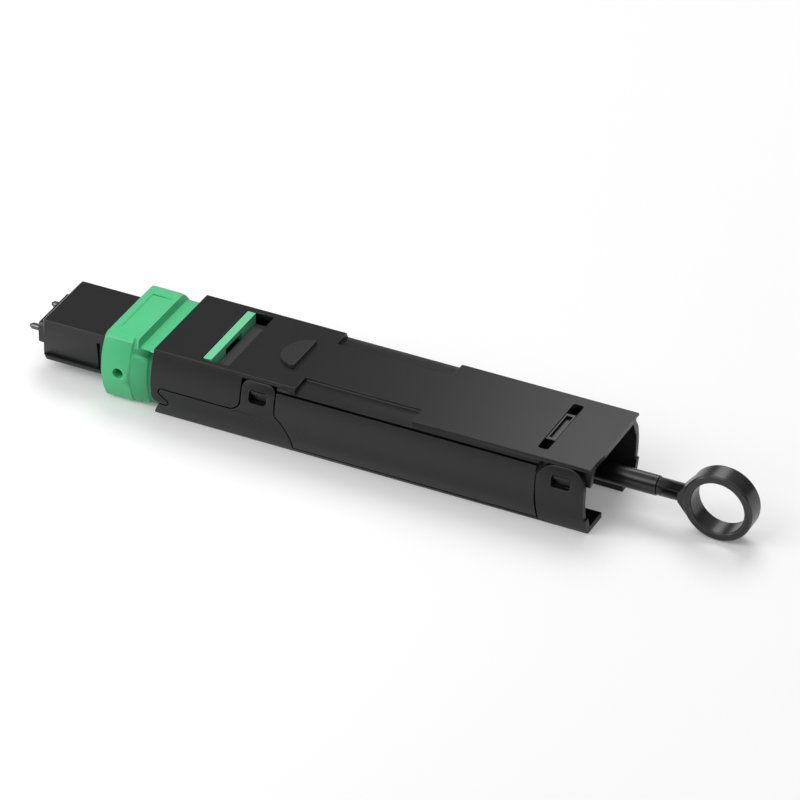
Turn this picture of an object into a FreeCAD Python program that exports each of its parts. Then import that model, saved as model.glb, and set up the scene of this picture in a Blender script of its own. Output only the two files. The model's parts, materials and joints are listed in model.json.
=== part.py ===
import FreeCAD, Part
import math
import os
import re
import Sketcher

# Fibre loopback module: a sprung multi-fibre plug, a snap-together housing that holds the turned
# fibres, and a pull rod with a ring that draws the green coupling back.
# X runs along the module, nose at -X and ring at +X. Z is up from the housing's base face.
# X = 0 is the middle of the top plate. Sizes are in millimetres.

SIZES = {
    # Housing shell
    "plate_length": 49.0,
    "plate_width": 11.5,
    "housing_height": 7.7,
    "side_bulge": 1.0,
    "plate_thickness": 0.7,
    "wall": 0.65,
    "floor_thickness": 0.65,
    "part_gap": 0.15,
    "seat_gap": 0.05,
    "slide_gap": 0.1,
    "release_travel": 1.8,
    "ferrule_travel": 0.6,
    # Front side walls of the top cover and the hooked tongue of the bottom cover
    "front_wall_length": 10.2,
    "wall_corner": 1.2,
    "leg_height": 1.75,
    "leg_round": 0.8,
    "hook_slope": 41.0,
    "hook_round": 0.33,
    "tongue_setback": 1.325,
    "tongue_height": 3.32,
    "tongue_round": 0.355,
    "toe_height": 0.3,
    "toe_slant": 0.7,
    "mouth_relief": 0.27,
    # Snap ears, their windows, and the flanges and nubs behind them
    "ear_drop": 0.4,
    "front_ear_width": 3.75,
    "front_ear_round": 0.9,
    "rear_ear_width": 5.25,
    "rear_ear_round": 2.0,
    "rear_ear_setback": 0.3,
    "front_window_width": 2.0,
    "rear_window_width": 2.1,
    "ear_window_height": 1.3,
    "ear_window_drop": 0.95,
    "ear_window_round": 0.35,
    "ear_relief": 0.35,
    "flange_thickness": 0.6,
    "flange_depth": 1.5,
    "nub_height": 0.36,
    "nub_drop": 0.12,
    "nub_recess": 0.12,
    # Curved rear edge of the front ear, and the rear foot
    "ogee_height": 4.65,
    "ogee_round": 0.9,
    "ogee_angle": 50.0,
    "ogee_reach": 1.8,
    "foot_height": 1.9,
    "foot_setback": 0.1,
    "floor_notch_width": 5.0,
    "floor_notch_length": 5.4,
    "rabbet_height": 0.4,
    # Openings and finger catch of the top plate
    "bar_window_setback": 5.05,
    "bar_window_length": 3.15,
    "bar_window_width": 10.2,
    "catch_setback": 14.4,
    "catch_radius": 2.55,
    "catch_rise": 0.42,
    "catch_lip": 0.15,
    "notch_setback": 16.2,
    "notch_length": 13.1,
    "notch_land": 7.0,
    "notch_depth": 0.45,
    "notch_roll": 1.7,
    "slot_setback": 6.5,
    "slot_width": 1.15,
    "slot_length": 8.7,
    "slot_round": 0.3,
    # Loop body
    "panel_line": 0.2,
    "panel_line_depth": 0.45,
    "deck_fall": 0.35,
    "deck_thickness": 0.65,
    "tray_width": 10.8,
    "mandrel_radius": 3.1,
    "mandrel_clear": 0.5,
    "well_wall": 0.8,
    "well_length": 4.6,
    "latch_width": 5.0,
    "latch_pocket_depth": 0.3,
    "latch_rim": 0.2,
    "socket_reach": 3.8,
    "socket_width": 9.2,
    # Inner plug
    "plug_width": 8.3,
    "plug_height": 5.05,
    "nose_reach": 14.08,
    "plug_insert": 3.5,
    "plug_chamfer": 0.55,
    "nose_bevel": 0.3,
    "plug_cavity_width": 7.0,
    "plug_cavity_height": 3.4,
    "shoulder_depth": 4.88,
    "side_recess_depth": 0.35,
    "side_recess_base": 0.65,
    "side_recess_height": 3.25,
    "side_recess_length": 6.45,
    "latch_groove_width": 0.35,
    "latch_groove_depth": 0.55,
    "lug_length": 1.0,
    "lug_reach": 1.1,
    "lug_height": 1.1,
    # Ferrule, pins, clamp and boot
    "ferrule_width": 6.4,
    "ferrule_height": 2.5,
    "ferrule_reach": 0.97,
    "ferrule_chamfer": 0.25,
    "flange_width": 6.8,
    "ferrule_flange_height": 3.1,
    "ferrule_flange_length": 2.0,
    "pin_radius": 0.35,
    "pin_shank_radius": 0.34,
    "pin_waist_radius": 0.28,
    "pin_waist_length": 0.8,
    "pin_pitch": 4.6,
    "pin_reach": 1.45,
    "pin_tip_length": 0.3,
    "pin_tip_radius": 0.15,
    "pin_fit": 0.01,
    "clamp_thickness": 0.8,
    "boot_width": 3.6,
    "boot_height": 1.3,
    "boot_length": 3.4,
    "boot_insert": 1.4,
    "ribbon_width": 3.2,
    "ribbon_height": 0.5,
    "ferrule_spring_wire": 0.4,
    "ferrule_spring_turns": 4.0,
    # Spring push
    "push_insert": 3.6,
    "push_collar": 1.4,
    "push_clear": 0.2,
    "push_tail_width": 5.6,
    "arm_length": 3.2,
    "arm_thickness": 0.45,
    # Coupling
    "collar_reach": 5.95,
    "collar_step": 2.7,
    "sleeve_step": 0.7,
    "throat_reach": 0.4,
    "ramp_top": 2.25,
    "ramp_foot": 2.0,
    "collar_width": 12.78,
    "collar_top_width": 9.1,
    "saddle_top_width": 9.9,
    "collar_shoulder_radius": 1.0,
    "collar_base": 0.35,
    "collar_middle": 3.8,
    "collar_inset": 0.1,
    "throat_inset": 0.27,
    "collar_bevel": 0.08,
    "bar_width": 0.95,
    "bar_length": 9.84,
    "bar_leg": 2.1,
    "arch_width": 3.4,
    "arch_height": 0.62,
    "top_recess_length": 2.25,
    "top_recess_width": 6.9,
    "top_recess_setback": 0.85,
    "top_recess_depth": 0.12,
    "side_hole_radius": 0.6,
    "side_hole_setback": 1.95,
    "coupling_spring_radius": 0.61,
    "coupling_spring_wire": 0.22,
    "coupling_spring_turns": 5.0,
    "spring_channel_height": 1.5,
    "spring_channel_setback": 3.1,
    # Pull rod and ring
    "strip_thickness": 0.7,
    "strip_width": 6.6,
    "strip_shoulder_width": 9.1,
    "strip_shoulder_length": 2.1,
    "strip_shoulder_rise": 0.3,
    "strip_drop": 0.6,
    "strip_neck_width": 3.0,
    "strip_head_width": 5.3,
    "strip_head_length": 0.9,
    "riser_length": 1.7,
    "riser_width": 2.8,
    "rod_radius": 1.05,
    "rod_reach": 4.9,
    "rod_fit": 0.08,
    "neck_radius": 0.95,
    "peg_radius": 0.5,
    "peg_length": 2.5,
    "peg_fit": 0.02,
    "ring_reach": 11.75,
    "ring_inner_radius": 2.88,
    "ring_wall": 0.9,
    "ring_width": 2.4,
    "ring_bevel": 0.15,
    "flare_length": 0.6,
    "flare_tip": 0.5,
    "flare_rise": 1.8,
    # Fibres
    "fibre_radius": 0.1,
    "fibre_pitch": 0.25,
    "loop_radius": 5.0,
    "loop_pitch": 0.3,
}
# Radius of the grip's bulged sides, which run into its rounded shoulders without a corner.
DERIVED = {
    "notch_fall": "plate_thickness - notch_depth",
    "notch_round": "(notch_roll^2 + notch_fall^2) / (2 * notch_fall)",
    "collar_taper": "(collar_width - collar_top_width) / 2",
    "collar_rise": "housing_height - collar_shoulder_radius - collar_middle",
    "collar_side_radius":
        "(collar_taper^2 + collar_rise^2 - collar_shoulder_radius^2)"
        " / (2 * (collar_taper - collar_shoulder_radius))",
}
LOOPS = 6
COIL_STEPS = 12
EASE_STEPS = 8
TURN_STEPS = 6

doc = FreeCAD.newDocument("fibre_loopback_module")
sheet = doc.addObject("Spreadsheet::Sheet", "Sizes")
for row, (alias, number) in enumerate(SIZES.items(), start=1):
    sheet.set(f"A{row}", alias)
    sheet.set(f"B{row}", str(number))
    sheet.setAlias(f"B{row}", alias)
for row, (alias, formula) in enumerate(DERIVED.items(), start=len(SIZES) + 1):
    sheet.set(f"A{row}", alias)
    sheet.set(f"B{row}", f"={formula}")
    sheet.setAlias(f"B{row}", alias)
doc.recompute()


def bound(text):
    # An expression in plain size names, written so that it reads the sheet.
    names = {**SIZES, **DERIVED}
    return re.sub(r"[a-z]\w*", lambda word: ("Sizes." if word.group() in names else "") + word.group(), text)


def value(text):
    return float(sheet.evalExpression(bound(text)))


# Places shared by several pieces, as expressions of the sizes.
FRONT = "(-plate_length / 2)"
REAR = "(plate_length / 2)"
MID = "(housing_height / 2)"
BARREL = "(((housing_height / 2)^2 + side_bulge^2) / (2 * side_bulge))"
PLATE_UNDER = "(housing_height - plate_thickness)"
EAR_TOP = "(housing_height - ear_drop)"
WALL_END = f"({FRONT} + front_wall_length)"
FRONT_EAR_START = f"({WALL_END} + part_gap)"
FRONT_EAR_END = f"({FRONT_EAR_START} + front_ear_width)"
OGEE_FOOT = f"({FRONT_EAR_END} + ogee_reach)"
REAR_EAR_END = f"({REAR} - rear_ear_setback)"
REAR_EAR_START = f"({REAR_EAR_END} - rear_ear_width)"
PANEL_END = f"({REAR_EAR_START} - part_gap)"
WINDOW_TOP = "(housing_height - ear_drop - ear_window_drop)"
SLOT_START = f"({REAR} - slot_setback)"
TONGUE_X = f"({FRONT} + tongue_setback)"
HOOK_Z = "(leg_height + hook_round)"
HOOK_X = (
    f"({TONGUE_X} + ((tongue_height - {HOOK_Z}) * cos(hook_slope)"
    " - tongue_round - hook_round - part_gap) / sin(hook_slope))")
THROAT_END = f"({FRONT} + throat_reach)"
THROAT_BASE = "(floor_thickness + slide_gap)"
MOUTH_END = f"({THROAT_END} + release_travel + part_gap)"
NOSE = f"({FRONT} - nose_reach)"
PLUG_END = f"({FRONT} + plug_insert)"
FERRULE_FRONT = f"({NOSE} - ferrule_reach)"
SHOULDER = f"({NOSE} + shoulder_depth)"
FLANGE_START = f"({SHOULDER} + seat_gap)"
FLANGE_END = f"({FLANGE_START} + ferrule_flange_length)"
CLAMP_END = f"({FLANGE_END} + seat_gap + clamp_thickness)"
PUSH_FACE = f"({PLUG_END} - push_insert)"
BAR_FRONT = f"({FRONT} + bar_window_setback + part_gap)"
BAR_REAR = f"({BAR_FRONT} + bar_width)"
SLEEVE_TOP = f"({PLATE_UNDER} - slide_gap)"
CAVITY_TOP = f"({MID} + plug_height / 2 + slide_gap)"
DECK_TOP = f"({PLATE_UNDER} - seat_gap)"
STRIP_TOP = f"({PLATE_UNDER} - strip_drop)"
STRIP_BASE = f"({STRIP_TOP} - strip_thickness)"
PUSH_TOP = f"({STRIP_BASE} - push_clear)"
PUSH_RISE = f"({PUSH_TOP} - {MID})"
TAIL_RISE = f"({PUSH_RISE} - part_gap)"
TROUGH_BASE = f"({STRIP_BASE} - part_gap)"
TRAY_TOP = f"({TROUGH_BASE} - deck_thickness)"
TRAY_BASE = "(floor_thickness + seat_gap)"
REAR_WALL_END = f"({SLOT_START} + slot_width - seat_gap)"
WELL_END = f"({REAR_WALL_END} - 2 * wall)"
WELL_START = f"({WELL_END} - well_length)"
TRAY_END = f"({WELL_START} - well_wall)"
LOOP_X = f"({TRAY_END} - loop_radius - 2 * loop_pitch)"
TRAY_START = f"({OGEE_FOOT} - ogee_reach / 4)"
ROD_END = f"({REAR} + rod_reach)"
RING_X = f"({REAR} + ring_reach)"
SPRING_Y = "(plug_width / 2 + spring_channel_height / 2)"
CHANNEL_FRONT = f"({FRONT} - spring_channel_setback)"
LUG_FRONT = f"({PLUG_END} - lug_length)"


def side(height, inset):
    # Half-width of the housing's barrel-shaped side at a height, an inset below its outer face.
    centre = f"(plate_width / 2 + side_bulge - {BARREL})"
    return f"({centre} + sqrt(({BARREL} - ({inset}))^2 - (({height}) - {MID})^2))"


def box(x0, x1, y0, y1):
    return [(x0, y0), (x1, y0), (x1, y1), (x0, y1)]


def round_box(x0, x1, y0, y1, radius):
    return [
        (f"{x0} + {radius}", y0), (f"{x1} - {radius}", y0, radius, 1),
        (x1, f"{y0} + {radius}"), (x1, f"{y1} - {radius}", radius, 1),
        (f"{x1} - {radius}", y1), (f"{x0} + {radius}", y1, radius, 1),
        (x0, f"{y1} - {radius}"), (x0, f"{y0} + {radius}", radius, 1),
    ]


def both_sides(loop):
    # A loop on the +Y side of a cross-section, with its mirror image on the -Y side.
    twin = []
    for corner in loop:
        bend = (corner[2], -corner[3]) if len(corner) > 2 else ()
        twin.append((f"-({corner[0]})", corner[1]) + bend)
    return [loop, twin]


def arc_between(start, finish, radius, turn):
    chord = finish - start
    middle = (start + finish) * 0.5
    left = FreeCAD.Vector(-chord.y, chord.x, 0) / chord.Length
    rise = math.sqrt(max(radius ** 2 - (chord.Length / 2) ** 2, 0))
    centre = middle + left * (rise * turn)
    first, last = (start, finish) if turn > 0 else (finish, start)
    opens = math.atan2(first.y - centre.y, first.x - centre.x)
    closes = math.atan2(last.y - centre.y, last.x - centre.x)
    if closes < opens:
        closes += 2 * math.pi
    return Part.ArcOfCircle(Part.Circle(centre, FreeCAD.Vector(0, 0, 1), radius), opens, closes)


def hold(sketch, kind, target, text):
    # One dimension of a sketch, bound to the sheet.
    index = sketch.addConstraint(Sketcher.Constraint(kind, *target, value(text)))
    sketch.setExpression(f"Constraints[{index}]", bound(text))


def trace(sketch, corners):
    # A corner is (x, y), or (x, y, radius, turn) where an arc leads on to the next corner.
    places = [FreeCAD.Vector(value(corner[0]), value(corner[1]), 0) for corner in corners]
    ends = []
    for index, corner in enumerate(corners):
        start = places[index]
        finish = places[(index + 1) % len(places)]
        if len(corner) == 2:
            edge = sketch.addGeometry(Part.LineSegment(start, finish))
            ends.append((edge, 1, 2))
            continue
        edge = sketch.addGeometry(arc_between(start, finish, value(corner[2]), corner[3]))
        ends.append((edge, 1, 2) if corner[3] > 0 else (edge, 2, 1))
    for index, corner in enumerate(corners):
        edge, head, tail = ends[index]
        following = ends[(index + 1) % len(ends)]
        sketch.addConstraint(Sketcher.Constraint("Coincident", edge, tail, following[0], following[1]))
        hold(sketch, "DistanceX", (-1, 1, edge, head), corner[0])
        hold(sketch, "DistanceY", (-1, 1, edge, head), corner[1])
        if len(corner) > 2:
            hold(sketch, "Radius", (edge,), corner[2])


def trace_circle(sketch, x, y, radius):
    centre = FreeCAD.Vector(value(x), value(y), 0)
    edge = sketch.addGeometry(Part.Circle(centre, FreeCAD.Vector(0, 0, 1), value(radius)))
    hold(sketch, "DistanceX", (-1, 1, edge, 3), x)
    hold(sketch, "DistanceY", (-1, 1, edge, 3), y)
    hold(sketch, "Radius", (edge,), radius)


def origin_plane(body, role):
    return next(feature for feature in body.Origin.OriginFeatures if feature.Role == role)


def origin_axis(body):
    return next(feature for feature in body.Origin.OriginFeatures if feature.Role == "X_Axis")


def draw(body, name, role, loops, offset):
    sketch = body.newObject("Sketcher::SketchObject", f"{body.Name}_{name}_outline")
    sketch.AttachmentSupport = [(origin_plane(body, role), "")]
    sketch.MapMode = "FlatFace"
    sketch.setExpression("AttachmentOffset.Base.z", bound(offset))
    for loop in loops:
        if isinstance(loop, tuple):
            trace_circle(sketch, *loop)
        else:
            trace(sketch, loop)
    return sketch


def pad(body, name, role, loops, offset, length, back=False, symmetric=False):
    sketch = draw(body, name, role, loops, offset)
    feature = body.newObject("PartDesign::Pad", f"{body.Name}_{name}")
    feature.Profile = sketch
    feature.Reversed = back
    feature.SideType = "Symmetric" if symmetric else "One side"
    feature.setExpression("Length", bound(length))
    return feature


def pocket(body, name, role, loops, offset="0", length=None, back=False):
    # With no length, the cut goes right through on both sides of its plane.
    doc.recompute()
    before = body.Shape.Volume
    sketch = draw(body, name, role, loops, offset)
    feature = body.newObject("PartDesign::Pocket", f"{body.Name}_{name}")
    feature.Profile = sketch
    feature.Reversed = back
    if length is None:
        feature.Type = "ThroughAll"
        feature.SideType = "Symmetric"
    else:
        feature.setExpression("Length", bound(length))
    doc.recompute()
    if body.Shape.Volume >= before:
        raise RuntimeError(f"{feature.Name} removes nothing")
    return feature


def edges_on(feature, axis, level):
    return [
        f"Edge{number}" for number, edge in enumerate(feature.Shape.Edges, start=1)
        if all(abs(getattr(corner.Point, axis) - level) < 1e-6 for corner in edge.Vertexes)
    ]


def break_edges(body, name, axis, levels, size):
    # Bevels every edge that lies at one of the levels.
    doc.recompute()
    base = body.Tip
    names = [edge for level in levels for edge in edges_on(base, axis, value(level))]
    feature = body.newObject("PartDesign::Chamfer", f"{body.Name}_{name}")
    feature.Base = (base, names)
    feature.setExpression("Size", bound(size))
    return feature


def new_body(name):
    body = doc.addObject("PartDesign::Body", name)
    body.Label = name
    return body


def ear_window(start, width, length):
    # X limits of a window in the middle of an ear.
    centre = f"({start} + {width} / 2)"
    return f"({centre} - {length} / 2)", f"({centre} + {length} / 2)"


FRONT_WINDOW = ear_window(FRONT_EAR_START, "front_ear_width", "front_window_width")
REAR_WINDOW = ear_window(REAR_EAR_START, "rear_ear_width", "rear_window_width")


def on_hook(radius):
    # Where a round about the hook's centre runs into the slanted line.
    return f"{HOOK_X} + {radius} * sin(hook_slope)", f"{HOOK_Z} + {radius} * cos(hook_slope)"


def on_tongue(radius):
    # Where the slanted line runs into a round about the tongue's end.
    return f"{TONGUE_X} - {radius} * sin(hook_slope)", f"tongue_height - {radius} * cos(hook_slope)"


def mouth_loop(lowest):
    # Section of the wider front mouth, where the coupling's middle step comes in.
    relieved = "(wall - mouth_relief)"
    radius = f"({BARREL} - {relieved})"
    return [
        (side(lowest, relieved), lowest, radius, 1), (side(PLATE_UNDER, relieved), PLATE_UNDER),
        (f"-{side(PLATE_UNDER, relieved)}", PLATE_UNDER, radius, 1), (f"-{side(lowest, relieved)}", lowest),
    ]


def make_top_cover():
    body = new_body("top_cover")
    inner = f"({BARREL} - wall)"
    channel = [
        (side("leg_height", "0"), "leg_height", BARREL, 1),
        (side("housing_height", "0"), "housing_height"),
        (f"-{side('housing_height', '0')}", "housing_height", BARREL, 1),
        (f"-{side('leg_height', '0')}", "leg_height"),
        (f"-{side('leg_height', 'wall')}", "leg_height", inner, -1),
        (f"-{side(PLATE_UNDER, 'wall')}", PLATE_UNDER),
        (side(PLATE_UNDER, "wall"), PLATE_UNDER, inner, -1),
        (side("leg_height", "wall"), "leg_height"),
    ]
    pad(body, "channel", "YZ_Plane", [channel], FRONT, "plate_length")
    # Side view of everything below the plate that isn't front wall, leg or hook.
    recess = "(tongue_round + part_gap)"
    wall_base = f"(tongue_height + {recess})"
    below = [
        (f"{FRONT} - wall", "leg_height + leg_round"), (FRONT, "leg_height + leg_round", "leg_round", 1),
        (f"{FRONT} + leg_round", "leg_height"), (HOOK_X, "leg_height", "hook_round", 1),
        on_hook("hook_round"), (*on_tongue(recess), recess, -1),
        (f"{TONGUE_X} - {recess}", "tongue_height", recess, -1), (TONGUE_X, wall_base),
        (f"{WALL_END} - wall_corner", wall_base, "wall_corner", 1), (WALL_END, f"{wall_base} + wall_corner"),
        (WALL_END, PLATE_UNDER), (f"{REAR} + wall", PLATE_UNDER),
        (f"{REAR} + wall", "-wall"), (f"{FRONT} - wall", "-wall"),
    ]
    pocket(body, "side_cut", "XZ_Plane", [below])
    pocket(body, "mouth", "YZ_Plane", [mouth_loop("leg_height")], FRONT, f"{MOUTH_END} - {FRONT}", back=True)
    # Thinner plate edge above the ears, and the snap flanges inside them.
    flange_face = "(wall + part_gap)"
    flange_back = f"({flange_face} + flange_thickness)"
    flange_base = f"({PLATE_UNDER} - flange_depth)"
    tab_base = f"({WINDOW_TOP} - ear_window_height - part_gap)"
    ears = (
        ("front", FRONT_EAR_START, FRONT_EAR_END, FRONT_WINDOW),
        ("rear", f"({REAR_EAR_START} + part_gap)", REAR, REAR_WINDOW),
    )
    for name, start, finish, window in ears:
        reliefs = [
            box(f"{start} - part_gap", f"{finish} + part_gap", f"{sign}{side(PLATE_UNDER, flange_face)}",
                f"{sign}plate_width")
            for sign in ("", "-")
        ]
        pocket(body, f"{name}_relief", "XY_Plane", reliefs, PLATE_UNDER, "ear_relief", back=True)
        flange = [
            (side(flange_base, flange_face), flange_base, f"({BARREL} - {flange_face})", 1),
            (side(PLATE_UNDER, flange_face), PLATE_UNDER),
            (side(PLATE_UNDER, flange_back), PLATE_UNDER, f"({BARREL} - {flange_back})", -1),
            (side(flange_base, flange_back), flange_base),
        ]
        pad(body, f"{name}_flange", "YZ_Plane", both_sides(flange), start, f"{finish} - {start}")
        # The flange reaches further down behind the window.
        tab = [
            (side(tab_base, flange_face), tab_base, f"({BARREL} - {flange_face})", 1),
            (side(flange_base, flange_face), flange_base),
            (side(flange_base, flange_back), flange_base, f"({BARREL} - {flange_back})", -1),
            (side(tab_base, flange_back), tab_base),
        ]
        pad(body, f"{name}_tab", "YZ_Plane", both_sides(tab), f"{window[0]} - part_gap",
            f"{window[1]} - {window[0]} + 2 * part_gap")
        nub_top = f"({WINDOW_TOP} - nub_drop)"
        nub = box(f"{window[0]} + part_gap", f"{window[1]} - part_gap", f"{nub_top} - nub_height", nub_top)
        root = f"({side(nub_top, flange_face)} - flange_thickness / 2)"
        reach = f"({side(nub_top, 'nub_recess')} - {root})"
        pad(body, f"{name}_nub_near", "XZ_Plane", [nub], root, reach)
        pad(body, f"{name}_nub_far", "XZ_Plane", [nub], f"-{root}", reach, back=True)
    # Openings through the plate.
    window_start = f"({FRONT} + bar_window_setback)"
    window_end = f"{window_start} + bar_window_length"
    bar_window = box(window_start, window_end, "-bar_window_width / 2", "bar_window_width / 2")
    pocket(body, "bar_window", "XY_Plane", [bar_window], "housing_height", "plate_thickness")
    notch_start = f"({FRONT} + notch_setback)"
    notch_floor = "(housing_height - notch_depth)"
    # Finger notches with a flat floor that rolls off to the plate's lower edge.
    notch = [
        ("notch_land / 2", "housing_height + wall"), ("notch_land / 2", notch_floor),
        (f"{side(PLATE_UNDER, '0')} - notch_roll", notch_floor, "notch_round", -1),
        (side(PLATE_UNDER, "0"), PLATE_UNDER), ("plate_width", PLATE_UNDER),
        ("plate_width", "housing_height + wall"),
    ]
    pocket(body, "notches", "YZ_Plane", both_sides(notch), notch_start, "notch_length", back=True)
    slot_end = f"({SLOT_START} + slot_width)"
    slot = round_box(SLOT_START, slot_end, "-slot_length / 2", "slot_length / 2", "slot_round")
    pocket(body, "slot", "XY_Plane", [slot], "housing_height", "plate_thickness")
    # Half-moon finger catch, low at its arc and raised at its straight edge.
    catch = f"({FRONT} + catch_setback)"
    half_moon = [
        (catch, "catch_radius", "catch_radius", 1), (f"{catch} - catch_radius", "0", "catch_radius", 1),
        (catch, "-catch_radius"),
    ]
    pad(body, "catch", "XY_Plane", [half_moon], "housing_height", "catch_rise")
    slope = [
        (f"{catch} - catch_radius", "housing_height + catch_lip"),
        (catch, "housing_height + catch_rise"),
        (catch, "housing_height + 2 * catch_rise"),
        (f"{catch} - catch_radius", "housing_height + 2 * catch_rise"),
    ]
    pocket(body, "catch_slope", "XZ_Plane", [slope])
    return body


def make_bottom_cover():
    body = new_body("bottom_cover")
    end = f"({REAR} - foot_setback)"
    inner = f"({BARREL} - wall)"
    channel = [
        (f"-{side('0', '0')}", "0"),
        (side("0", "0"), "0", BARREL, 1),
        (side(EAR_TOP, "0"), EAR_TOP),
        (side(EAR_TOP, "wall"), EAR_TOP, inner, -1),
        (side("floor_thickness", "wall"), "floor_thickness"),
        (f"-{side('floor_thickness', 'wall')}", "floor_thickness", inner, -1),
        (f"-{side(EAR_TOP, 'wall')}", EAR_TOP),
        (f"-{side(EAR_TOP, '0')}", EAR_TOP, BARREL, 1),
    ]
    pad(body, "channel", "YZ_Plane", [channel], FRONT, f"{end} - {FRONT}")
    # Side view of the space above the walls, tongues and ears.
    wall_top = "(tongue_height + tongue_round)"
    sunk = "(leg_height - part_gap)"
    bend = "(wall_corner + part_gap)"
    ogee_x = f"({FRONT_EAR_END} + ogee_round * (1 - cos(ogee_angle)))"
    ogee_z = "(ogee_height - ogee_round * sin(ogee_angle))"
    sweep = f"(({OGEE_FOOT} - {ogee_x}) / (1 - cos(ogee_angle)))"
    above = [
        (f"{FRONT} - wall", "toe_height"), (FRONT, "toe_height"), (f"{FRONT} + toe_slant", sunk),
        (HOOK_X, sunk, "(hook_round + part_gap)", 1), on_hook("(hook_round + part_gap)"),
        (*on_tongue("tongue_round"), "tongue_round", -1),
        (f"{TONGUE_X} - tongue_round", "tongue_height", "tongue_round", -1), (TONGUE_X, wall_top),
        (f"{WALL_END} - wall_corner", wall_top, bend, 1), (f"{WALL_END} + part_gap", f"{wall_top} + {bend}"),
        (FRONT_EAR_START, f"{EAR_TOP} - front_ear_round", "front_ear_round", -1),
        (f"{FRONT_EAR_START} + front_ear_round", EAR_TOP),
        (f"{FRONT_EAR_END} - front_ear_round", EAR_TOP, "front_ear_round", -1),
        (FRONT_EAR_END, f"{EAR_TOP} - front_ear_round"), (FRONT_EAR_END, "ogee_height", "ogee_round", 1),
        (ogee_x, ogee_z, sweep, -1), (OGEE_FOOT, f"{ogee_z} - {sweep} * sin(ogee_angle)"),
        (OGEE_FOOT, "floor_thickness"), (REAR_EAR_START, "floor_thickness"),
        (REAR_EAR_START, f"{EAR_TOP} - rear_ear_round", "rear_ear_round", -1),
        (f"{REAR_EAR_START} + rear_ear_round", EAR_TOP),
        (f"{REAR_EAR_END} - rear_ear_round", EAR_TOP, "rear_ear_round", -1),
        (REAR_EAR_END, f"{EAR_TOP} - rear_ear_round"), (REAR_EAR_END, "foot_height"),
        (f"{REAR} + wall", "foot_height"), (f"{REAR} + wall", "housing_height + wall"),
        (f"{FRONT} - wall", "housing_height + wall"),
    ]
    pocket(body, "side_cut", "XZ_Plane", [above])
    mouth = mouth_loop("floor_thickness")
    pocket(body, "mouth", "YZ_Plane", [mouth], FRONT, f"{MOUTH_END} - {FRONT}", back=True)
    # Seats for the loop body's panels along the floor's edges, snap windows, and the floor's open rear.
    seat = side("floor_thickness", "wall")
    rabbets = [
        box(OGEE_FOOT, REAR_EAR_START, f"{sign}{seat}", f"{sign}plate_width") for sign in ("", "-")
    ]
    pocket(body, "rabbets", "XY_Plane", rabbets, "floor_thickness", "floor_thickness - rabbet_height")
    window_base = f"({WINDOW_TOP} - ear_window_height)"
    windows = [
        round_box(start, finish, window_base, WINDOW_TOP, "ear_window_round")
        for start, finish in (FRONT_WINDOW, REAR_WINDOW)
    ]
    pocket(body, "snap_windows", "XZ_Plane", windows)
    notch_start = f"({end} - floor_notch_length)"
    notch = box(notch_start, f"{REAR} + wall", "-floor_notch_width / 2", "floor_notch_width / 2")
    pocket(body, "floor_notch", "XY_Plane", [notch], "floor_thickness", "floor_thickness")
    return body


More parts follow.
